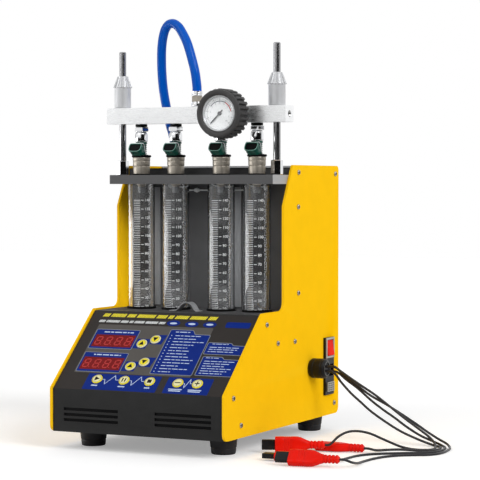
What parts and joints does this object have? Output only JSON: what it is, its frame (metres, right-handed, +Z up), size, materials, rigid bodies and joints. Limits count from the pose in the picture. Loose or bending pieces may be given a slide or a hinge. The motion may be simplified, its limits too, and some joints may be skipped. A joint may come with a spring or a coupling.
{
  "type": "bench_fuel_injector_cleaner_and_tester",
  "caption": "Bench-top fuel injector cleaner and tester: yellow side plates, black sloped key panel, measuring tubes, clamped fuel rail with a pressure gauge, blue hose and red injector plugs.",
  "frame": {"origin": "on the floor, under the middle of the casing, at the centre of the box round the machine without its cords", "axes": "+Z up, -Y towards the user, +X to the user's right, the side with the inlet and the cords"},
  "size_m": [0.4781, 0.3648, 0.5616],
  "materials": {
    "yellow_paint": "gloss powder coat",
    "black_sheet": "fine-textured black powder coat",
    "foot_rubber": "matt moulded rubber",
    "tube_glass": "clear glass with printed graduations",
    "seat_metal": "machined, inside the casing",
    "grey_bar": "dark grey anodised, satin",
    "bright_steel": "bright drawn rod",
    "turned_aluminium": "turned and lightly knurled",
    "brushed_rail": "long-grained brushed aluminium",
    "adapter_chrome": "bright plated brass",
    "injector_steel": "warm grey plated steel with a green connector",
    "gauge_rubber": "matt ribbed rubber boot",
    "gauge_metal": "steel case with a pale printed dial",
    "needle_paint": "matt black",
    "fitting_chrome": "bright plated",
    "blue_hose": "glossy blue polyurethane",
    "display_red": "dark red display filter",
    "key_plastic": "pale key caps with coloured marks",
    "inlet_plastic": "black moulded plastic",
    "rocker_red": "translucent glossy red rocker",
    "drawer_plastic": "ribbed dark grey plastic",
    "connector_plastic": "black moulded plastic",
    "cord_black": "black flexible cord",
    "plug_red": "red moulded plug",
    "tank_plastic": "natural polyethylene, unseen",
    "pump_steel": "plated steel canister, unseen",
    "board_green": "circuit board with its parts, unseen"
  },
  "bodies": {
    "casing": {"side_plate_left": "yellow_paint", "side_plate_right": "yellow_paint", "control_panel": "black_sheet", "deck_sheet": "black_sheet", "rear_cover": "black_sheet", "base_pan": "black_sheet", "foot_front_left": "foot_rubber", "foot_front_right": "foot_rubber", "foot_rear_left": "foot_rubber", "foot_rear_right": "foot_rubber", "measuring_tube_1": "tube_glass", "measuring_tube_2": "tube_glass", "measuring_tube_3": "tube_glass", "measuring_tube_4": "tube_glass", "tube_seat_block": "seat_metal", "clamp_bar": "grey_bar", "post_left": "bright_steel", "post_right": "bright_steel", "injector_1": "injector_steel", "injector_2": "injector_steel", "injector_3": "injector_steel", "injector_4": "injector_steel", "pressure_hose": "blue_hose", "display_window_1": "display_red", "display_window_2": "display_red", "power_inlet": "inlet_plastic", "cable_connector": "connector_plastic", "injector_cord_1": "cord_black", "injector_cord_2": "cord_black", "injector_cord_3": "cord_black", "injector_cord_4": "cord_black", "injector_plug_1": "plug_red", "injector_plug_2": "plug_red", "injector_plug_3": "plug_red", "injector_plug_4": "plug_red", "fluid_tank": "tank_plastic", "fuel_pump": "pump_steel", "driver_board": "board_green"},
    "rail": {"fuel_rail": "brushed_rail", "rail_adapter_1": "adapter_chrome", "rail_adapter_2": "adapter_chrome", "rail_adapter_3": "adapter_chrome", "rail_adapter_4": "adapter_chrome", "gauge_boot": "gauge_rubber", "gauge_case": "gauge_metal", "hose_fitting": "fitting_chrome"},
    "nut_left": {"clamp_nut_left": "turned_aluminium"},
    "nut_right": {"clamp_nut_right": "turned_aluminium"},
    "needle": {"gauge_needle": "needle_paint"},
    "rocker": {"power_rocker": "rocker_red"},
    "drawer": {"fuse_drawer": "drawer_plastic"},
    "key_up_1": {"key_up_1": "key_plastic"},
    "key_down_1": {"key_down_1": "key_plastic"},
    "key_up_2": {"key_up_2": "key_plastic"},
    "key_down_2": {"key_down_2": "key_plastic"},
    "key_play": {"key_play": "key_plastic"},
    "key_pause": {"key_pause": "key_plastic"},
    "key_stop": {"key_stop": "key_plastic"},
    "key_minus": {"key_minus": "key_plastic"},
    "key_plus": {"key_plus": "key_plastic"}
  },
  "joints": [
    {"name": "rail_lift", "type": "slide", "parent": "casing", "child": "rail", "axis": [0, 0, 1], "range_m": [0, 0.032], "deforming": ["pressure_hose"]},
    {"name": "nut_left_turn", "type": "hinge", "parent": "rail", "child": "nut_left", "pos_m": [-0.1153, -0.0038, 0.4645], "axis": [0, 0, 1], "continuous": true},
    {"name": "nut_right_turn", "type": "hinge", "parent": "rail", "child": "nut_right", "pos_m": [0.1153, -0.0038, 0.4645], "axis": [0, 0, 1], "continuous": true},
    {"name": "needle_turn", "type": "hinge", "parent": "rail", "child": "needle", "pos_m": [0.0535, -0.0482, 0.4318], "axis": [0, 1, 0], "range_deg": [0, 270], "stiffness_Nm_per_rad": 0.001},
    {"name": "rocker_tilt", "type": "hinge", "parent": "casing", "child": "rocker", "pos_m": [0.1285, 0.1398, 0.1158], "axis": [0, 1, 0], "range_deg": [0, 16]},
    {"name": "fuse_drawer_slide", "type": "slide", "parent": "casing", "child": "drawer", "axis": [1, 0, 0], "range_m": [0, 0.02]},
    {"name": "key_up_1_press", "type": "slide", "parent": "casing", "child": "key_up_1", "axis": [0, 0.6596, -0.7516], "range_m": [0, 0.0008], "stiffness_N_per_m": 2000},
    {"name": "key_down_1_press", "type": "slide", "parent": "casing", "child": "key_down_1", "axis": [0, 0.6596, -0.7516], "range_m": [0, 0.0008], "stiffness_N_per_m": 2000},
    {"name": "key_up_2_press", "type": "slide", "parent": "casing", "child": "key_up_2", "axis": [0, 0.6596, -0.7516], "range_m": [0, 0.0008], "stiffness_N_per_m": 2000},
    {"name": "key_down_2_press", "type": "slide", "parent": "casing", "child": "key_down_2", "axis": [0, 0.6596, -0.7516], "range_m": [0, 0.0008], "stiffness_N_per_m": 2000},
    {"name": "key_play_press", "type": "slide", "parent": "casing", "child": "key_play", "axis": [0, 0.6596, -0.7516], "range_m": [0, 0.0008], "stiffness_N_per_m": 2000},
    {"name": "key_pause_press", "type": "slide", "parent": "casing", "child": "key_pause", "axis": [0, 0.6596, -0.7516], "range_m": [0, 0.0008], "stiffness_N_per_m": 2000},
    {"name": "key_stop_press", "type": "slide", "parent": "casing", "child": "key_stop", "axis": [0, 0.6596, -0.7516], "range_m": [0, 0.0008], "stiffness_N_per_m": 2000},
    {"name": "key_minus_press", "type": "slide", "parent": "casing", "child": "key_minus", "axis": [0, 0.6596, -0.7516], "range_m": [0, 0.0008], "stiffness_N_per_m": 2000},
    {"name": "key_plus_press", "type": "slide", "parent": "casing", "child": "key_plus", "axis": [0, 0.6596, -0.7516], "range_m": [0, 0.0008], "stiffness_N_per_m": 2000}
  ]
}
